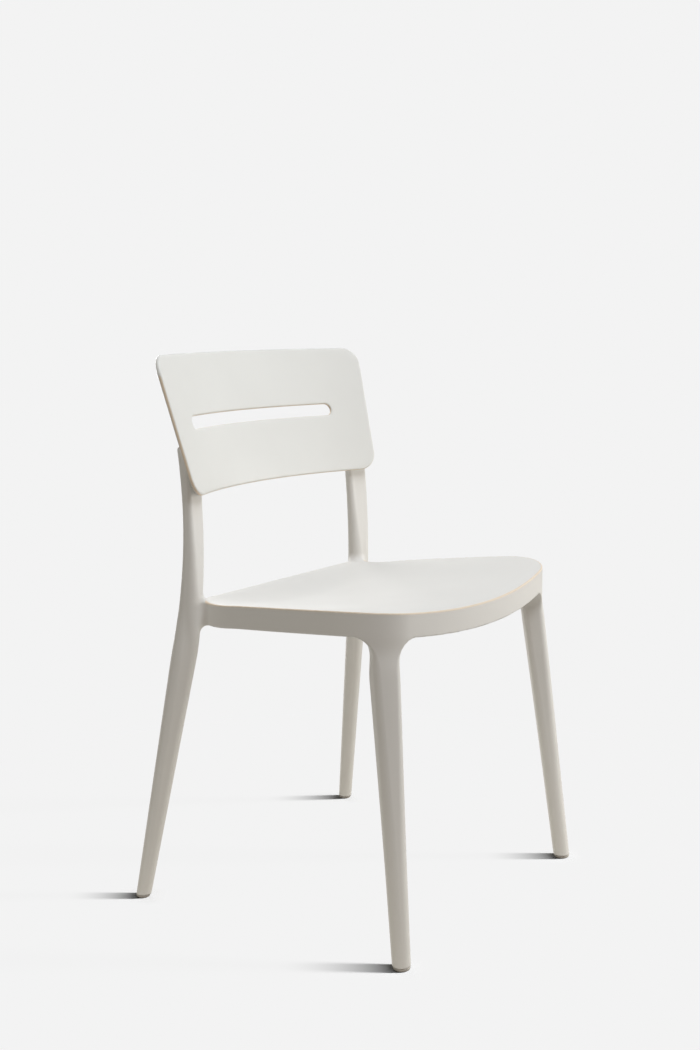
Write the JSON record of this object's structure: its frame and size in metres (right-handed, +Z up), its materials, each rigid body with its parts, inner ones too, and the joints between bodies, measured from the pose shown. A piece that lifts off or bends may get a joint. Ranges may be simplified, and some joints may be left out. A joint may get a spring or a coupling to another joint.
{
  "type": "stacking chair",
  "caption": "Off-white moulded plastic stacking chair: dished seat with a deep rim, splayed tapering legs, rear posts and a thin curved backrest with one long slot.",
  "frame": {"origin": "on the floor, at the centre of the chair's bounding box", "axes": "+Z up; the chair faces -Y, its backrest is toward +Y; X is its width and the plane X = 0 is its plane of symmetry"},
  "size_m": [0.5352, 0.4811, 0.79],
  "materials": {
    "shell": "off-white polypropylene, fine moulded grain",
    "backrest": "off-white polypropylene, smooth satin front",
    "glide": "grey nylon",
    "steel": "zinc plated",
    "cap": "off-white polypropylene",
    "pad": "soft grey elastomer"
  },
  "bodies": {
    "root": {"seat_shell": "shell", "front_left_leg": "shell", "front_right_leg": "shell", "rear_left_upright": "shell", "rear_right_upright": "shell", "backrest_panel": "backrest", "front_left_glide": "glide", "front_right_glide": "glide", "rear_left_glide": "glide", "rear_right_glide": "glide", "upper_left_screw": "steel", "lower_left_screw": "steel", "upper_right_screw": "steel", "lower_right_screw": "steel", "upper_left_cap": "cap", "lower_left_cap": "cap", "upper_right_cap": "cap", "lower_right_cap": "cap", "front_left_pad": "pad", "front_right_pad": "pad", "rear_left_pad": "pad", "rear_right_pad": "pad"}
  },
  "joints": []
}
